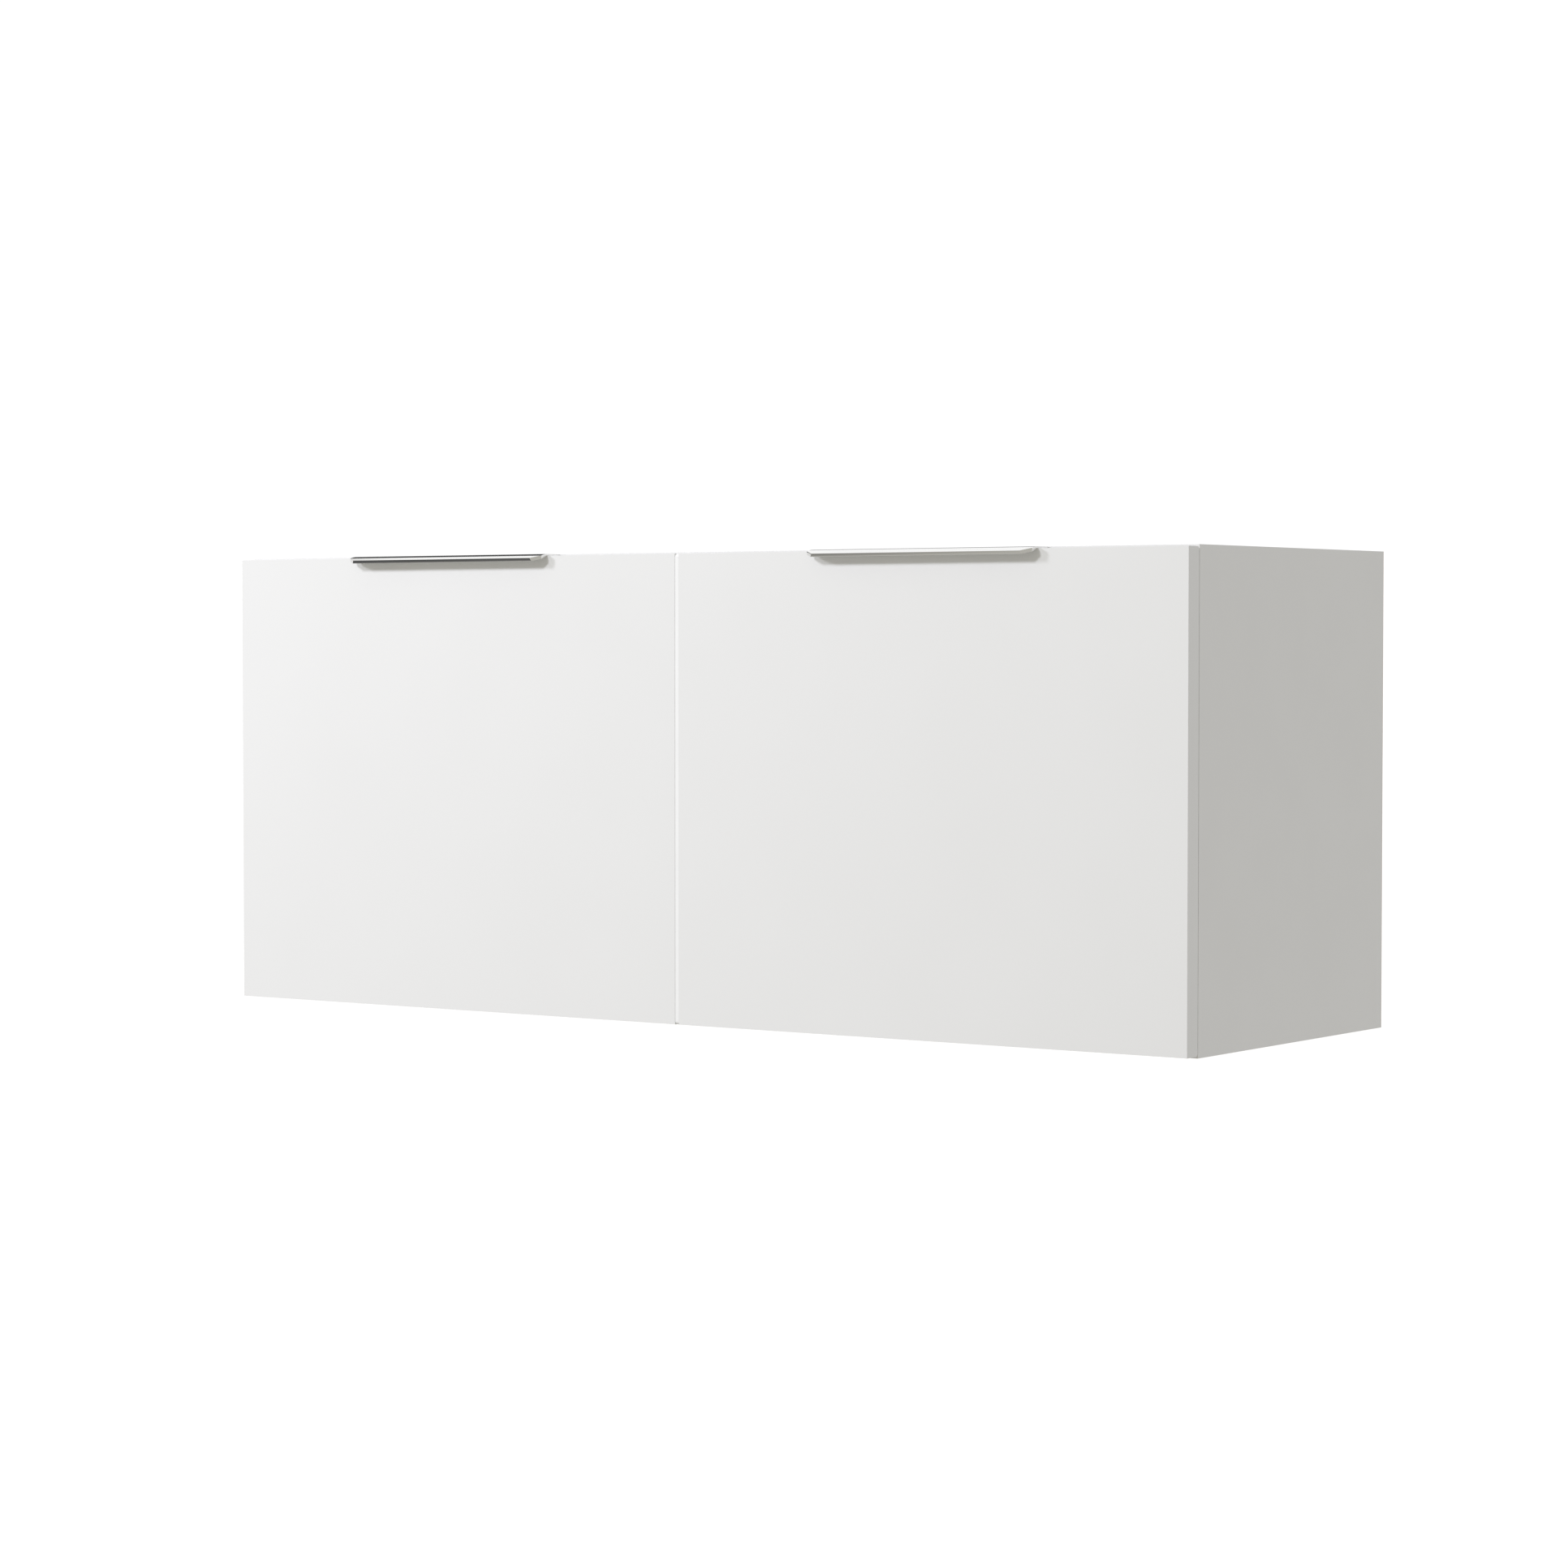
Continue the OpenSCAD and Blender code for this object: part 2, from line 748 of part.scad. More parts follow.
// Bracket on the flap: base with two screws, ear and pivot pin
module stay_bracket() {
    from = stay_o + stay_p;
    color(steel) difference() {
        union() {
            block([x_arm - 13, flap_rear, from[1] - 22], [x_arm + link_t, flap_rear + 2, from[1] + 22]);
            along_x(x_arm, link_t) {
                translate(from) circle(7);
                translate([flap_rear, from[1] - 12]) square([from[0] - flap_rear, 24]);
            }
            translate([x_rod - 1.2, from[0], from[1]]) rotate([0, 90, 0])
                cylinder(r = link_pin_r, h = x_arm - x_rod + 2);
            translate([x_rod - 1.6, from[0], from[1]]) rotate([0, 90, 0])
                cylinder(r = 4, h = 1.2);
        }
        bracket_screw_places() small_screw_hole();
    }
}

module bracket_screw_places() {
    for (dz = [-16, 16]) translate([x_arm - 7, flap_rear + 2, z_axis + stay_p[1] + dz])
        rotate([-90, 0, 0]) children();
}

module left_stay_arm() {
    mirror([1, 0, 0]) stay_arm();
}

module right_stay_arm() {
    stay_arm();
}

module left_stay_rod() {
    mirror([1, 0, 0]) stay_rod();
}

module right_stay_rod() {
    stay_rod();
}

// ---- magnetic catches ----

// Catch under the top panel: body, and screw ears at both ends
module catch_housing() {
    difference() {
        union() {
            block([flap_x - 15, magnet_y + 0.7, z_ceiling - 13], [flap_x + 15, y_front + 17, z_ceiling]);
            block([flap_x - 25, y_front + 4, z_ceiling - 2.5], [flap_x + 25, y_front + 14, z_ceiling]);
        }
        block([flap_x - 11, y_front, z_ceiling - 9.5], [flap_x + 11, y_front + 12, z_ceiling - 3.5]);
        catch_screw_places() fine_screw_hole();
    }
}

module catch_screw_places() {
    for (dx = [-20, 20]) translate([flap_x + dx, y_front + 9, z_ceiling - 2.5])
        rotate([180, 0, 0]) children();
}

module catch_housings() {
    color(white) both_sides() catch_housing();
}

// Two pole plates with the magnet between them
module catch_magnets() {
    color(zinc) both_sides() {
        for (z = [z_ceiling - 9.4, z_ceiling - 4.6])
            block([flap_x - 10.8, magnet_y, z], [flap_x + 10.8, y_front + 11.9, z + 1]);
        block([flap_x - 10.8, magnet_y + 1, z_ceiling - 8.4],
            [flap_x + 10.8, y_front + 11.9, z_ceiling - 4.6]);
    }
}

module catch_screws() {
    color(steel) both_sides() catch_screw_places() fine_screw();
}

// ---- flaps ----

module flap_panel() {
    color(white) difference() {
        along_x(middle_gap / 2, body_w / 2 - middle_gap / 2)
            half_rounded(flap_face, flap_rear, flap_low, flap_high, rear_round);
        hinge_places() {
            hinge_pocket();
            cup_screw_places() small_screw_hole();
        }
        bracket_screw_places() small_screw_hole();
        pull_screw_places() small_screw_hole();
        strike_screw_places() fine_screw_hole();
        bumper_places() translate([0, 0, -bumper_stem_l - 0.5])
            cylinder(r = bumper_stem_r + fit, h = bumper_stem_l + 1);
    }
}

// Section of the pull: flange on the flap's upper edge, and a lip that bends down in front of it
module pull_section() {
    front = [-lip_reach, flange_t - lip_fall];
    under = front + lip_t * [sin(lip_slope), -cos(lip_slope)];
    corner = [lip_fall / tan(lip_slope) - lip_reach, flange_t];     // where both tops would meet
    difference() {
        polygon([[0, 0], [flap_t, 0], [flap_t, flange_t], corner, front, under]);
        bend_waste(corner);
    }
}

// What the bend between flange and lip takes off their corner; the arc cuts both tops at about
// a degree, so that it never only touches them
module bend_waste(corner) {
    bend_l = 5;                      // from the corner to each end of the bend
    bend_r = 32;
    half = lip_slope / 2;
    rear = corner + [bend_l, 0];
    front = corner - bend_l * [cos(lip_slope), sin(lip_slope)];
    sink = sqrt(pow(bend_r, 2) - pow(bend_l * cos(half), 2));
    difference() {
        polygon([rear, rear + [0, 1], front + [0, 3], front]);
        translate((rear + front) / 2 + sink * [sin(half), -cos(half)]) circle(bend_r);
    }
}

module edge_pull() {
    clip_x = 8.5;
    clip_y = 6;
    color(steel) difference() {
        translate([0, flap_face, flap_high]) along_x(flap_x - pull_l / 2, pull_l) pull_section();
        for (s = [-1, 1]) translate([flap_x, flap_face - lip_reach, flap_high - 10])
            linear_extrude(20) polygon([[s * (pull_l / 2 + 1), -1], [s * (pull_l / 2 - clip_x), -1],
                [s * (pull_l / 2 - clip_x), 0], [s * pull_l / 2, clip_y],
                [s * (pull_l / 2 + 1), clip_y]]);
        pull_screw_places() small_screw_hole();
    }
}

module pull_screw_places() {
    for (dx = [-pull_l / 2 + 18, pull_l / 2 - 18])
        translate([flap_x + dx, flap_rear - flap_t / 2, flap_high + flange_t]) children();
}

// Strike plate opposite the catch
module strike_plate() {
    difference() {
        block([flap_x - 16, flap_rear, z_ceiling - 12],
            [flap_x + 16, flap_rear + strike_t, z_ceiling - 2]);
        strike_screw_places() fine_screw_hole();
    }
}

module strike_screw_places() {
    for (dx = [-12, 12]) translate([flap_x + dx, flap_rear + strike_t, z_ceiling - 7])
        rotate([-90, 0, 0]) children();
}

// Places of the bumpers, opposite the front edges of the side panel and the top panel
module bumper_places() {
    for (x = [middle_gap / 2 + 5, body_w / 2 - board / 2])
        translate([x, flap_rear, z_ceiling + board / 2]) rotate([-90, 0, 0]) children();
}

// Soft plugs: a stem in the flap and a thin head that meets the carcass
module flap_bumpers() {
    bumper_places() {
        cylinder(r = bumper_r, h = front_gap - 0.1);
        translate([0, 0, -bumper_stem_l]) cylinder(r = bumper_stem_r, h = bumper_stem_l + 0.1);
    }
}

module right_flap_panel() {
    opened() flap_panel();
}

module right_edge_pull() {
    opened() edge_pull();
}

module right_pull_screws() {
    color(steel) opened() pull_screw_places() small_screw();
}

module right_hinge_cups() {
    color(zinc) opened() hinge_places() hinge_cup();
}

module right_hinge_pins() {
    color(steel) opened() hinge_places() hinge_pin();
}

module right_cup_screws() {
    color(steel) opened() hinge_places() cup_screw_places() small_screw();
}

module right_stay_bracket() {
    opened() stay_bracket();
}

module right_bracket_screws() {
    color(steel) opened() bracket_screw_places() small_screw();
}

module right_strike_plate() {
    color(zinc) opened() strike_plate();
}

module right_strike_screws() {
    color(steel) opened() strike_screw_places() fine_screw();
}

module right_flap_bumpers() {
    color([0.9, 0.9, 0.9]) opened() flap_bumpers();
}

// The left flap is the right one mirrored
module left_flap_panel() {
    mirror([1, 0, 0]) right_flap_panel();
}

module left_edge_pull() {
    mirror([1, 0, 0]) right_edge_pull();
}

module left_pull_screws() {
    mirror([1, 0, 0]) right_pull_screws();
}

module left_hinge_cups() {
    mirror([1, 0, 0]) right_hinge_cups();
}

module left_hinge_pins() {
    mirror([1, 0, 0]) right_hinge_pins();
}

module left_cup_screws() {
    mirror([1, 0, 0]) right_cup_screws();
}

module left_stay_bracket() {
    mirror([1, 0, 0]) right_stay_bracket();
}

module left_bracket_screws() {
    mirror([1, 0, 0]) right_bracket_screws();
}

module left_strike_plate() {
    mirror([1, 0, 0]) right_strike_plate();
}

module left_strike_screws() {
    mirror([1, 0, 0]) right_strike_screws();
}

module left_flap_bumpers() {
    mirror([1, 0, 0]) right_flap_bumpers();
}

left_side_panel();
right_side_panel();
top_panel();
bottom_panel();
centre_divider();
centre_strip();
back_panel();
left_shelf();
right_shelf();
shelf_pins();
cam_locks();
cam_bolts();
cam_covers();
assembly_dowels();
wall_rail();
left_hanger_housing();
right_hanger_housing();
left_hanger_hook();
right_hanger_hook();
hanger_screws();
left_hanger_cover();
right_hanger_cover();
hinge_arms();
hinge_plates();
hinge_arm_screws();
hinge_plate_screws();
left_stay_housing();
right_stay_housing();
stay_housing_screws();
catch_housings();
catch_magnets();
catch_screws();
left_flap_panel();
left_edge_pull();
left_pull_screws();
left_hinge_cups();
left_hinge_pins();
left_cup_screws();
left_stay_bracket();
left_bracket_screws();
left_strike_plate();
left_strike_screws();
left_flap_bumpers();
right_flap_panel();
right_edge_pull();
right_pull_screws();
right_hinge_cups();
right_hinge_pins();
right_cup_screws();
right_stay_bracket();
right_bracket_screws();
right_strike_plate();
right_strike_screws();
right_flap_bumpers();
left_stay_arm();
left_stay_rod();
right_stay_arm();
right_stay_rod();
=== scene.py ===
"""Looks of the hanging wall cabinet: rounded edges, materials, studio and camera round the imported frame."""

import json
import math

import bpy
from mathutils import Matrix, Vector


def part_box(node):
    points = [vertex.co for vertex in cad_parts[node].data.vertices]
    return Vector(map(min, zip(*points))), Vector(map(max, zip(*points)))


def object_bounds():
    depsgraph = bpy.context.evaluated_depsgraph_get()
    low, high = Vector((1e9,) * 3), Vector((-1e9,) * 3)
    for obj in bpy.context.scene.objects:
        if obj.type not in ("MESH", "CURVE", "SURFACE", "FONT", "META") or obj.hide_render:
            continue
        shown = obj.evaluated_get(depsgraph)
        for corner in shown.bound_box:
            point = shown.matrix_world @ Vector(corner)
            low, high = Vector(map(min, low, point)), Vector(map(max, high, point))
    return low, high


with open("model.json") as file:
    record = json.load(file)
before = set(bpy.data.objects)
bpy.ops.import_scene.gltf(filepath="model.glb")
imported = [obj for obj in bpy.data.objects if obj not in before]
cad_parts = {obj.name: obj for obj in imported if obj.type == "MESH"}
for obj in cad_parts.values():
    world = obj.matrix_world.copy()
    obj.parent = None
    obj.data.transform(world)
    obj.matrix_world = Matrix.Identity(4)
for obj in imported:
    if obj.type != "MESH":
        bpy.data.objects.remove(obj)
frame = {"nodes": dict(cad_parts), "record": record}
cad_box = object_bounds()

# Camera, in metres and degrees
CAMERA_PLACE = (2.0777, -3.1453, -0.0225)
CAMERA_YAW = 34.994
CAMERA_PITCH = -1.989
LENS_MM = 93.6
SENSOR_MM = 36.0

# Soft lights, in metres and watts: where the light travels, how far it is to the right pull, its disk
LIGHTS = {
    "key_left": {"way": (1.22, 1, -0.52), "distance": 4.2, "size": 0.70, "power": 60.2},
    "key_front": {"way": (0.3, 1, -0.52), "distance": 3.4, "size": 0.56, "power": 44.1},
}
LIGHT_COLOUR = (0.975, 0.99, 1.065)

# Room: linear colour in front, and the grey behind and of the fields that the pulls mirror
ROOM_IN_FRONT = (0.497, 0.487, 0.445, 1)
ROOM_BEHIND = 0.75
BRIGHT_FIELD = 1.05
DIM_FIELD = 0.45
DARK_FIELD = 0.08
DARK_SPOT = 0.10
BACKGROUND = 1.05         # what the camera sees round the cabinet

# Room: where the fields lie, by parts of a way of length 1
BEHIND = (-0.25, 0.25)            # back, from the room in front to the room behind
PULL_FIELDS = (0.25, 0.40)        # left, where the fields of both pulls begin
LEFT_PULL_FIELDS = (0.575, 0.61)  # left, where the left pull's fields begin
BRIGHT_END = (0.662, 0.645)       # left, where the bright field ends
BOUND_STEP = (0.0, 0.03)          # height over the bound, from the field below to the bright field
BOUND_RISE = 0.75                 # how far the bound rises for each unit of back
RIGHT_PULL_DROP = 0.27            # how much lower than that rise it lies for the right pull
LEFT_PULL_DROP = 0.02             # and for the left pull
DARK_SPOT_WAY = (-0.67, -0.58, -0.46)
DARK_SPOT_STEP = (0.980, 0.999)   # cosine of the angle off that way, at the rim and where it is darkest

FLOOR_DROP = 3.0          # floor below the cabinet, low enough for a view from below
FLOOR_SIZE = 60.0

# ---- node helpers ----


class Tree:
    """A node tree in which a node is made, set and linked in one call."""

    def __init__(self, tree):
        self.tree = tree
        tree.nodes.clear()

    def add(self, kind, inputs=None, **settings):
        """Adds a node; an input given as a socket is linked, any other value is set."""
        made = self.tree.nodes.new("ShaderNode" + kind)
        for name, value in settings.items():
            setattr(made, name, value)
        for name, value in (inputs or {}).items():
            if isinstance(value, bpy.types.NodeSocket):
                self.tree.links.new(value, made.inputs[name])
            else:
                made.inputs[name].default_value = value
        return made

    def math(self, operation, *values):
        return self.add("Math", dict(enumerate(values)), operation=operation).outputs[0]

    def mix(self, share, first, second):
        """Colour between first and second, the Mix node's sockets 6 and 7."""
        made = self.add("Mix", {0: share, 6: first, 7: second}, data_type="RGBA")
        return made.outputs[2]

    def smooth(self, value, low, high):
        """0 below low, 1 above high, and a smooth step between them; falling where low is above high."""
        made = self.add("MapRange", {"Value": value, "From Min": low, "From Max": high},
                        interpolation_type="SMOOTHSTEP")
        return made.outputs[0]

    def noise(self, place, scale, detail=2.0, stretch=(1, 1, 1)):
        stretched = self.add("Mapping", {"Vector": place, "Scale": stretch}).outputs[0]
        made = self.add("TexNoise", {"Vector": stretched, "Scale": scale, "Detail": detail})
        return made.outputs[0]

    def bump(self, height, depth):
        """Surface normal over a height from 0 to 1, depth metres high."""
        return self.add("Bump", {"Height": height, "Strength": 1.0, "Distance": depth}).outputs[0]


def grey(level, warmth=0.0):
    """Linear grey, a little warm where warmth is above 0."""
    return (level, level * (1 - warmth * 0.3), level * (1 - warmth), 1.0)


class Surface(Tree):
    """A Principled material with its object coordinates, which are the row frame in metres."""

    def __init__(self, name, **constants):
        self.material = bpy.data.materials.new(name)
        self.material.use_nodes = True
        super().__init__(self.material.node_tree)
        self.shader = self.add("BsdfPrincipled")
        self.add("OutputMaterial", {"Surface": self.shader.outputs[0]})
        self.place = self.add("TexCoord").outputs["Object"]
        for name, value in constants.items():
            self.set(name.replace("_", " ").title().replace("Ior", "IOR"), value)

    def set(self, name, value):
        if isinstance(value, bpy.types.NodeSocket):
            self.tree.links.new(value, self.shader.inputs[name])
        else:
            self.shader.inputs[name].default_value = value

    def axis(self, name):
        """One coordinate of the place on the surface."""
        return self.add("SeparateXYZ", {0: self.place}).outputs[name]

    def inside(self, low, high, margin):
        """1 where the surface lies deeper than margin in the box low to high: bores, pockets and grooves."""
        centre = (low + high) / 2
        half = (high - low) / 2
        offset = self.add("VectorMath", {0: self.place, 1: tuple(centre)}, operation="SUBTRACT").outputs[0]
        reach = self.add("VectorMath", {0: offset}, operation="ABSOLUTE").outputs[0]
        depth = self.add("VectorMath", {0: tuple(half), 1: reach}, operation="SUBTRACT").outputs[0]
        parts = self.add("SeparateXYZ", {0: depth}).outputs
        least = self.math("MINIMUM", self.math("MINIMUM", parts[0], parts[1]), parts[2])
        return self.math("GREATER_THAN", least, margin)


# ---- materials ----

BAND_T = 0.0008           # thickness of a board's edge band
SEAM_WIDTH = 0.00014      # hair line between edge band and board
FACE_DEPTH = 0.0004       # how deep the finish of a front or rear face reaches
CARCASS_SKIN = 0.0012     # how deep in a carcass board's bores the raw board begins
FRONT_SKIN = 0.0014       # and in a front's pockets


def chipboard(surface):
    """Colour and height of a raw chipboard edge."""
    coarse = surface.add("TexVoronoi", {"Vector": surface.place, "Scale": 420.0, "Randomness": 1.0})
    fine = surface.noise(surface.place, 900.0, 4.0)
    tone = surface.mix(fine, (0.33, 0.21, 0.12, 1), (0.56, 0.41, 0.26, 1))
    chip = surface.add("SeparateXYZ", {0: coarse.outputs["Color"]}).outputs[0]
    colour = surface.mix(surface.math("MULTIPLY", chip, 0.5), tone, (0.66, 0.50, 0.33, 1))
    return colour, surface.math("ADD", fine, coarse.outputs["Distance"])


def carcass_board(low, high):
    """White melamine board with edge bands, and raw chipboard on its rear edge and in its bores."""
    surface = Surface("carcass_board", ior=1.48)
    pearl = surface.noise(surface.place, 1400.0, 3.0)
    cloud = surface.noise(surface.place, 14.0, 2.0)
    white = surface.mix(cloud, grey(0.82, 0.010), grey(0.85, 0.006))
    from_seam = surface.math("SUBTRACT", surface.axis("Y"), low.y + BAND_T)
    seam = surface.math("LESS_THAN", surface.math("ABSOLUTE", from_seam), SEAM_WIDTH / 2)
    white = surface.mix(surface.math("MULTIPLY", seam, 0.35), white, grey(0.45, 0.1))
    raw_colour, raw_height = chipboard(surface)
    rear = surface.math("GREATER_THAN", surface.axis("Y"), high.y - FACE_DEPTH)
    raw = surface.math("MAXIMUM", rear, surface.inside(low, high, CARCASS_SKIN))
    surface.set("Base Color", surface.mix(raw, white, raw_colour))
    dullness = surface.math("MULTIPLY_ADD", raw, 0.4, 0.36)
    surface.set("Roughness", surface.math("ADD", surface.math("MULTIPLY", pearl, 0.08), dullness))
    chips = surface.math("MULTIPLY", raw, raw_height)
    height = surface.math("ADD", surface.math("MULTIPLY", pearl, 0.12), chips)
    surface.set("Normal", surface.bump(height, 0.00012))
    return surface.material


def front_board(low, high):
    """Satin lacquered board, with raw fibreboard in its pockets and screw holes."""
    surface = Surface("front_board", ior=1.5)
    peel = surface.noise(surface.place, 700.0, 2.0)
    cloud = surface.noise(surface.place, 9.0, 2.0)
    white = surface.mix(cloud, grey(0.824, 0.006), grey(0.844, 0.004))
    fibre = surface.noise(surface.place, 1600.0, 4.0, (1, 3, 1))
    fibreboard = surface.mix(fibre, (0.42, 0.29, 0.17, 1), (0.58, 0.43, 0.27, 1))
    raw = surface.inside(low, high, FRONT_SKIN)
    surface.set("Base Color", surface.mix(raw, white, fibreboard))
    dullness = surface.math("MULTIPLY_ADD", raw, 0.4, 0.34)
    surface.set("Roughness", surface.math("MULTIPLY_ADD", peel, 0.06, dullness))
    height = surface.math("ADD", peel, surface.math("MULTIPLY", raw, fibre))
    surface.set("Normal", surface.bump(height, 0.00002))
    return surface.material


def back_board(low, high):
    """Hardboard, painted white in front, with the screen pattern of its brown rear face."""
    surface = Surface("back_board")
    waves = [surface.add("TexWave", {"Vector": surface.place, "Scale": 190.0, "Distortion": 0.4},
                         bands_direction=direction).outputs[1] for direction in "XZ"]
    screen = surface.math("MULTIPLY", *waves)
    fibre = surface.noise(surface.place, 500.0, 5.0, (1, 1, 2.5))
    brown = surface.mix(fibre, (0.17, 0.095, 0.05, 1), (0.33, 0.21, 0.12, 1))
    white = surface.mix(fibre, grey(0.76, 0.02), grey(0.80, 0.02))
    rear = surface.math("GREATER_THAN", surface.axis("Y"), low.y + FACE_DEPTH)
    surface.set("Base Color", surface.mix(rear, white, brown))
    surface.set("Roughness", surface.math("MULTIPLY_ADD", rear, 0.3, 0.42))
    relief = surface.math("ADD", screen, surface.math("MULTIPLY", fibre, 0.5))
    surface.set("Normal", surface.bump(surface.math("MULTIPLY", rear, relief), 0.00018))
    return surface.material


def polished_pull(low, high):
    """Polished metal, drawn along X: mirror bright, with hair-fine lines along its length."""
    surface = Surface("pull_metal", metallic=1.0)
    lines = surface.noise(surface.place, 260.0, 3.0, (0.02, 4, 4))
    smear = surface.noise(surface.place, 40.0, 3.0)
    surface.set("Base Color", surface.mix(smear, grey(0.83, 0.01), grey(0.87, 0.01)))
    surface.set("Roughness", surface.math("MULTIPLY_ADD", smear, 0.03, 0.05))
    surface.set("Normal", surface.bump(lines, 0.000004))
    return surface.material


def plated(name, level, roughness, grain):
    """Plated or bright zinc-coated metal with fine flow marks."""
    def build(low, high):
        surface = Surface(name, metallic=1.0)
        fine = surface.noise(surface.place, grain, 4.0)
        stain = surface.noise(surface.place, 60.0, 3.0)
        surface.set("Base Color", surface.mix(stain, grey(level * 0.9, 0.02), grey(level, -0.02)))
        surface.set("Roughness", surface.math("MULTIPLY_ADD", fine, 0.18, roughness))
        surface.set("Normal", surface.bump(fine, 0.00001))
        return surface.material
    return build


def beech(low, high):
    """Raw turned beech with its grain along X and short dark flecks."""
    surface = Surface("beech", roughness=0.6)
    grain = surface.noise(surface.place, 300.0, 4.0, (0.08, 1, 1))
    fleck = surface.smooth(surface.noise(surface.place, 900.0, 2.0, (0.2, 1, 1)), 0.60, 0.72)
    wood = surface.mix(grain, (0.50, 0.31, 0.16, 1), (0.68, 0.47, 0.28, 1))
    surface.set("Base Color", surface.mix(surface.math("MULTIPLY", fleck, 0.5), wood, (0.30, 0.16, 0.08, 1)))
    surface.set("Normal", surface.bump(grain, 0.00005))
    return surface.material


def moulded(name, level, roughness, warmth=0.0, **constants):
    """Moulded plastic with a fine spark-eroded texture."""
    def build(low, high):
        surface = Surface(name, **constants)
        texture = surface.noise(surface.place, 2200.0, 3.0)
        flow = surface.noise(surface.place, 30.0, 2.0)
        surface.set("Base Color", surface.mix(flow, grey(level * 0.94, warmth), grey(level, warmth)))
        surface.set("Roughness", surface.math("MULTIPLY_ADD", texture, 0.1, roughness))
        surface.set("Normal", surface.bump(texture, 0.00002))
        return surface.material
    return build


# Each finish makes its material from a node's lowest and highest corner. The centre strip has a finish
# of its own, under its node's name; every other one goes by its slot.
FINISHES = {
    "carcass_board": carcass_board,
    "front_board": front_board,
    "back_board": back_board,
    "pull_metal": polished_pull,
    "zinc": plated("zinc", 0.62, 0.22, 500.0),
    "steel": plated("steel", 0.66, 0.28, 700.0),
    "beech": beech,
    "grey_plastic": moulded("grey_plastic", 0.30, 0.42, -0.02),
    "white_plastic": moulded("white_plastic", 0.78, 0.38, 0.02),
    "centre_strip": moulded("centre_strip", 0.95, 0.30),
    "bumper": moulded("bumper", 0.72, 0.30, transmission_weight=0.35, ior=1.45),
}
BOARDS = ("carcass_board", "front_board", "back_board")

# Edge radius in metres, by finish
EDGE = {"carcass_board": 0.0004, "front_board": 0.0003, "back_board": 0.0002, "pull_metal": 0.00015,
        "zinc": 0.0002, "steel": 0.0002, "beech": 0.0004, "grey_plastic": 0.0005,
        "white_plastic": 0.0002, "centre_strip": 0.0001, "bumper": 0.0002}
SHARP_ANGLE = 35          # degrees between two faces, above which their edge is rounded
WELD_REACH = 0.00001      # corners closer than this are joined


# ---- CAD nodes ----


def soften(piece, width):
    """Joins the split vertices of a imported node, rounds its sharp edges and keeps its large faces flat."""
    weld = piece.modifiers.new("weld", "WELD")
    weld.merge_threshold = WELD_REACH
    bevel = piece.modifiers.new("edges", "BEVEL")
    bevel.width = width
    bevel.segments = 2
    bevel.limit_method = "ANGLE"
    bevel.angle_limit = math.radians(SHARP_ANGLE)
    bevel.use_clamp_overlap = True
    bevel.miter_outer = "MITER_ARC"
    normals = piece.modifiers.new("normals", "WEIGHTED_NORMAL")
    normals.mode = "FACE_AREA_WITH_ANGLE"


def finish_nodes():
    """Gives each CAD node its finish; a board has a material of its own, because it depends on its box."""
    shared = {}
    for part in frame["record"]["subparts"]:
        name = part["node"]
        finish = name if name in FINISHES else part["material_slot"]
        node = frame["nodes"][name]
        low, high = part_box(name)
        if finish in BOARDS or finish not in shared:
            shared[finish] = FINISHES[finish](low, high)
        for slot in node.material_slots:
            slot.material = shared[finish]
        soften(node, EDGE[finish])


# ---- studio ----


def make_camera():
    data = bpy.data.cameras.new("camera")
    data.lens = LENS_MM
    data.sensor_width = SENSOR_MM
    camera = bpy.data.objects.new("camera", data)
    camera.location = CAMERA_PLACE
    camera.rotation_euler = (math.radians(90 + CAMERA_PITCH), 0, math.radians(CAMERA_YAW))
    bpy.context.scene.collection.objects.link(camera)
    bpy.context.scene.camera = camera


def make_light(name, way, distance, size, power):
    """Soft round light whose light travels along way and meets the right pull after that distance."""
    data = bpy.data.lights.new(name, "AREA")
    data.shape = "DISK"
    data.size = size
    data.energy = power
    data.color = LIGHT_COLOUR
    light = bpy.data.objects.new(name, data)
    travel = Vector(way).normalized()
    light.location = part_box("right_edge_pull")[0] - travel * distance
    light.rotation_euler = travel.to_track_quat("-Z", "Y").to_euler()
    light.visible_glossy = False
    bpy.context.scene.collection.objects.link(light)


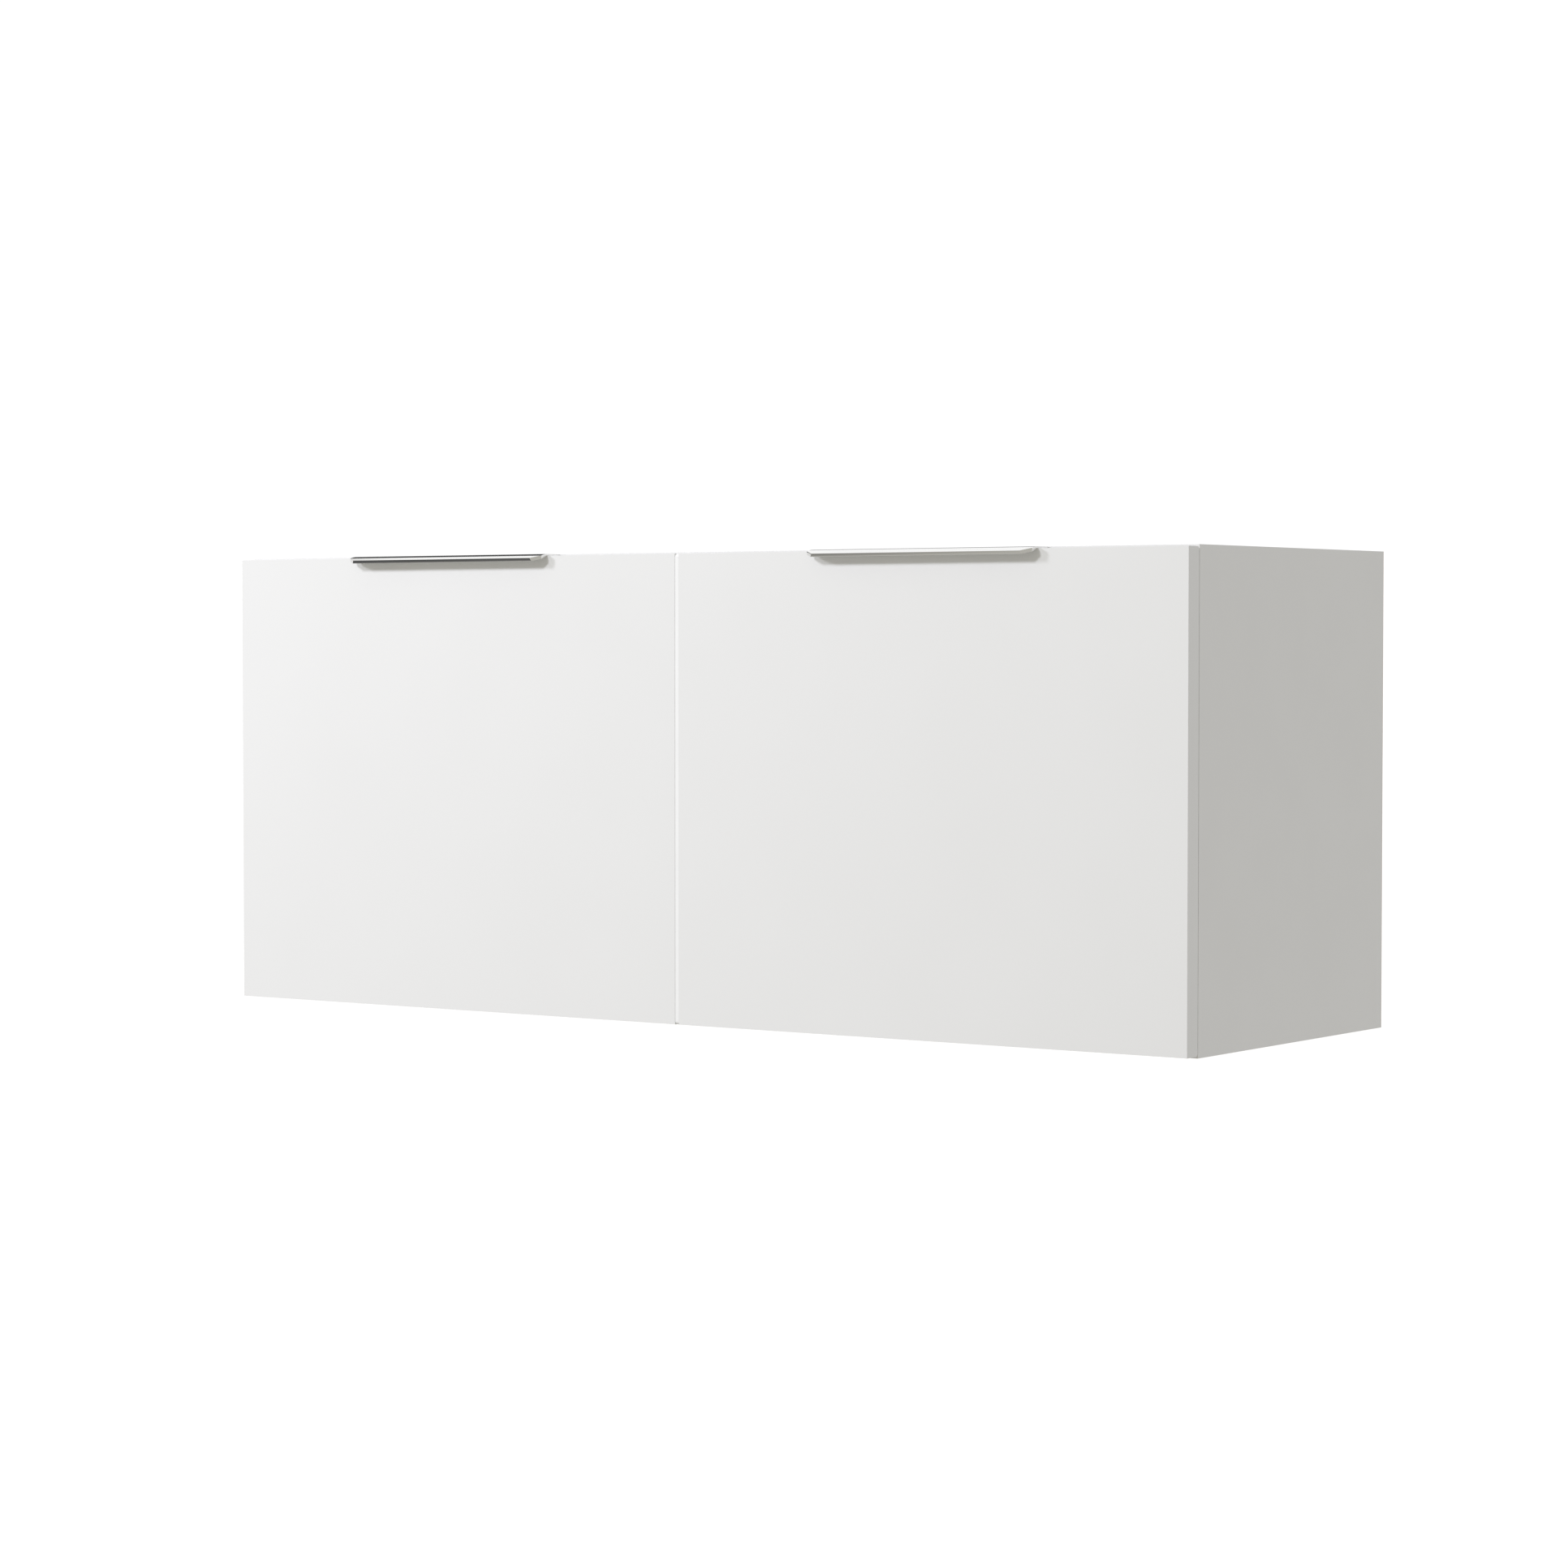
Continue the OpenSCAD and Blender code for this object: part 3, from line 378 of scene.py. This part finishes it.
def make_world():
    """Pale room, brighter behind the object, with the bright and dark fields that the metal mirrors."""
    world = bpy.data.worlds.new("studio")
    bpy.context.scene.world = world
    world.use_nodes = True
    room = Tree(world.node_tree)
    way = room.add("TexCoord").outputs["Generated"]
    right, back, up = room.add("SeparateXYZ", {0: way}).outputs
    left = room.math("MULTIPLY", right, -1.0)
    behind = room.smooth(back, *BEHIND)
    level = room.mix(behind, ROOM_IN_FRONT, grey(ROOM_BEHIND, 0.01))
    # The lips mirror the field above a slanting bound and their bends the one below it. The bound lies
    # higher, and the field below is darker, further to the left, where the left pull mirrors the room.
    pull_side = room.smooth(left, *PULL_FIELDS)
    left_pull = room.smooth(left, *LEFT_PULL_FIELDS)
    drop = room.math("MULTIPLY_ADD", left_pull, LEFT_PULL_DROP - RIGHT_PULL_DROP, RIGHT_PULL_DROP)
    over_bound = room.math("ADD", drop, room.math("MULTIPLY_ADD", back, -BOUND_RISE, up))
    high = room.math("MULTIPLY", behind, room.smooth(over_bound, *BOUND_STEP))
    low = room.math("SUBTRACT", behind, high)
    bright_side = room.math("MULTIPLY", pull_side, room.smooth(left, *BRIGHT_END))
    bright = room.math("MULTIPLY", high, bright_side)
    level = room.mix(bright, level, grey(BRIGHT_FIELD))
    shade = room.mix(left_pull, grey(DIM_FIELD), grey(DARK_FIELD))
    level = room.mix(room.math("MULTIPLY", low, pull_side), level, shade)
    # A dark spot low in front and to the left, which the lips' front edges mirror
    spot_way = tuple(Vector(DARK_SPOT_WAY).normalized())
    near_spot = room.add("VectorMath", {0: way, 1: spot_way}, operation="DOT_PRODUCT").outputs["Value"]
    level = room.mix(room.smooth(near_spot, *DARK_SPOT_STEP), level, grey(DARK_SPOT))
    seen = room.add("LightPath").outputs["Is Camera Ray"]
    level = room.mix(seen, level, grey(BACKGROUND))
    ground = room.add("Background", {"Color": level, "Strength": 1.0}).outputs[0]
    room.add("OutputWorld", {"Surface": ground})


def make_floor():
    """Pale floor far below the hanging cabinet."""
    height = cad_box[0][2] - FLOOR_DROP
    half = FLOOR_SIZE / 2
    mesh = bpy.data.meshes.new("floor")
    corners = [(-half, -half, height), (half, -half, height), (half, half, height), (-half, half, height)]
    mesh.from_pydata(corners, [], [(0, 1, 2, 3)])
    floor = bpy.data.objects.new("floor", mesh)
    bpy.context.scene.collection.objects.link(floor)
    paint = Surface("floor_paint", roughness=0.9, emission_strength=0.5)
    paint.set("Emission Color", (1, 1, 1, 1))
    paint.set("Base Color", paint.mix(paint.noise(paint.place, 2.0), grey(0.88), grey(0.92)))
    mesh.materials.append(paint.material)
    floor.visible_diffuse = False
    floor.visible_glossy = False


finish_nodes()
make_camera()
for name, settings in LIGHTS.items():
    make_light(name, **settings)
make_world()
make_floor()
bpy.context.scene.view_settings.view_transform = "Standard"
